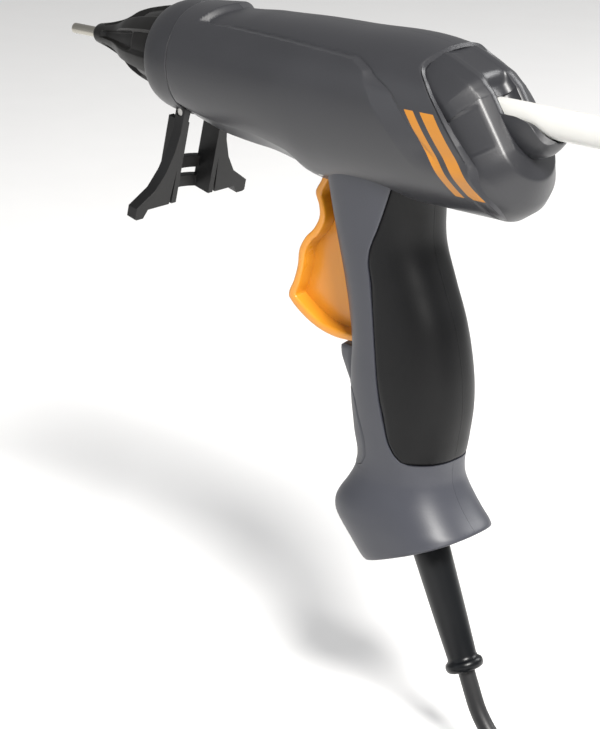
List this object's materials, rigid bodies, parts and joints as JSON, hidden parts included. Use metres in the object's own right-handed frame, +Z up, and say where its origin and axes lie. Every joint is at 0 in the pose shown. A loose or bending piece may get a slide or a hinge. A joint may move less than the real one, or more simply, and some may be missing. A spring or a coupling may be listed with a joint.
{
  "type": "glue gun",
  "caption": "Hand-held electric glue gun with sprung trigger feed, fold-out stand, soft grips, rear-fed glue stick and a coiled mains cord.",
  "frame": {"origin": "middle of the hand grip, in the gun's middle plane", "axes": "+X along the barrel to the nozzle, +Y to the gun's left, +Z up, square to the barrel"},
  "size_m": [0.3091, 0.1221, 0.2791],
  "materials": {
    "body_grey": "fine satin moulding",
    "collar_grey": "satin moulding",
    "trim_grey": "satin moulding",
    "heat_black": "satin moulding",
    "nozzle_steel": "turned",
    "steel": "satin",
    "chamber_aluminium": "cast",
    "heater_ceramic": "matt",
    "inlet_silicone": "matt",
    "inner_black": "moulded",
    "trigger_orange": "satin gloss moulding",
    "soft_grip": "soft satin",
    "stand_black": "moulded",
    "protector_black": "satin",
    "cord_black": "satin",
    "tie_fabric": "hook and loop tape",
    "terminal_white": "moulded",
    "lead_insulation": "sleeved",
    "glue": "milky, translucent"
  },
  "bodies": {
    "housing": {"left_shell": "body_grey", "right_shell": "body_grey", "rear_cap": "body_grey", "front_collar": "collar_grey", "front_insert": "trim_grey", "nozzle_sleeve": "heat_black", "nozzle": "nozzle_steel", "valve_spring": "steel", "return_spring": "steel", "trigger_pin": "steel", "shell_screws": "steel", "stand_pin": "steel", "clamp_screws": "steel", "heater_clamp": "steel", "thermal_fuse": "steel", "plug_pins": "steel", "melt_chamber": "chamber_aluminium", "heater_element": "heater_ceramic", "inlet_sleeve": "inlet_silicone", "chamber_holder": "inner_black", "guide_tube": "inner_black", "cord_clamp": "inner_black", "grip_left": "soft_grip", "grip_right": "soft_grip", "bend_protector": "protector_black", "cord_inner": "cord_black", "cord": "cord_black", "cord_coil": "cord_black", "cord_tail": "cord_black", "plug_body": "cord_black", "coil_tie": "tie_fabric", "terminal_block": "terminal_white", "supply_leads": "lead_insulation", "heater_leads": "lead_insulation"},
    "trigger": {"trigger": "trigger_orange"},
    "carriage": {"feed_carriage": "inner_black", "carriage_pin": "steel", "clamp_pin": "steel"},
    "clamp": {"clamp_lever": "steel"},
    "stand": {"stand": "stand_black"},
    "valve": {"valve_ball": "steel"},
    "stick": {"glue_stick": "glue"}
  },
  "joints": [
    {"name": "trigger_pull", "type": "hinge", "parent": "housing", "child": "trigger", "pos_m": [0.031, 0, 0.073], "axis": [0, 1, 0], "range_deg": [0, 22], "stiffness_Nm_per_rad": 0.6, "springref_deg": -8.59},
    {"name": "carriage_feed", "type": "slide", "parent": "housing", "child": "carriage", "axis": [1, 0, 0], "range_m": [0, 0.0072], "deforming": ["return_spring"]},
    {"name": "clamp_tilt", "type": "hinge", "parent": "carriage", "child": "clamp", "pos_m": [0.022, 0, 0.117], "axis": [0, -1, 0], "range_deg": [0, 15], "stiffness_Nm_per_rad": 0.02, "springref_deg": -11.46},
    {"name": "stand_fold", "type": "hinge", "parent": "housing", "child": "stand", "pos_m": [0.105, 0, 0.083], "axis": [0, 1, 0], "range_deg": [0, 80]},
    {"name": "valve_lift", "type": "slide", "parent": "housing", "child": "valve", "axis": [1, 0, 0], "range_m": [0, 0.0008], "stiffness_N_per_m": 150, "springref_m": -0.0015, "deforming": ["valve_spring"]},
    {"name": "stick_slide", "type": "slide", "parent": "housing", "child": "stick", "axis": [1, 0, 0], "range_m": [-0.08, 0.01]}
  ],
  "couplings": [
    {"joint": "carriage_feed", "follows": "trigger_pull", "m_per_rad": 0.018731}
  ]
}
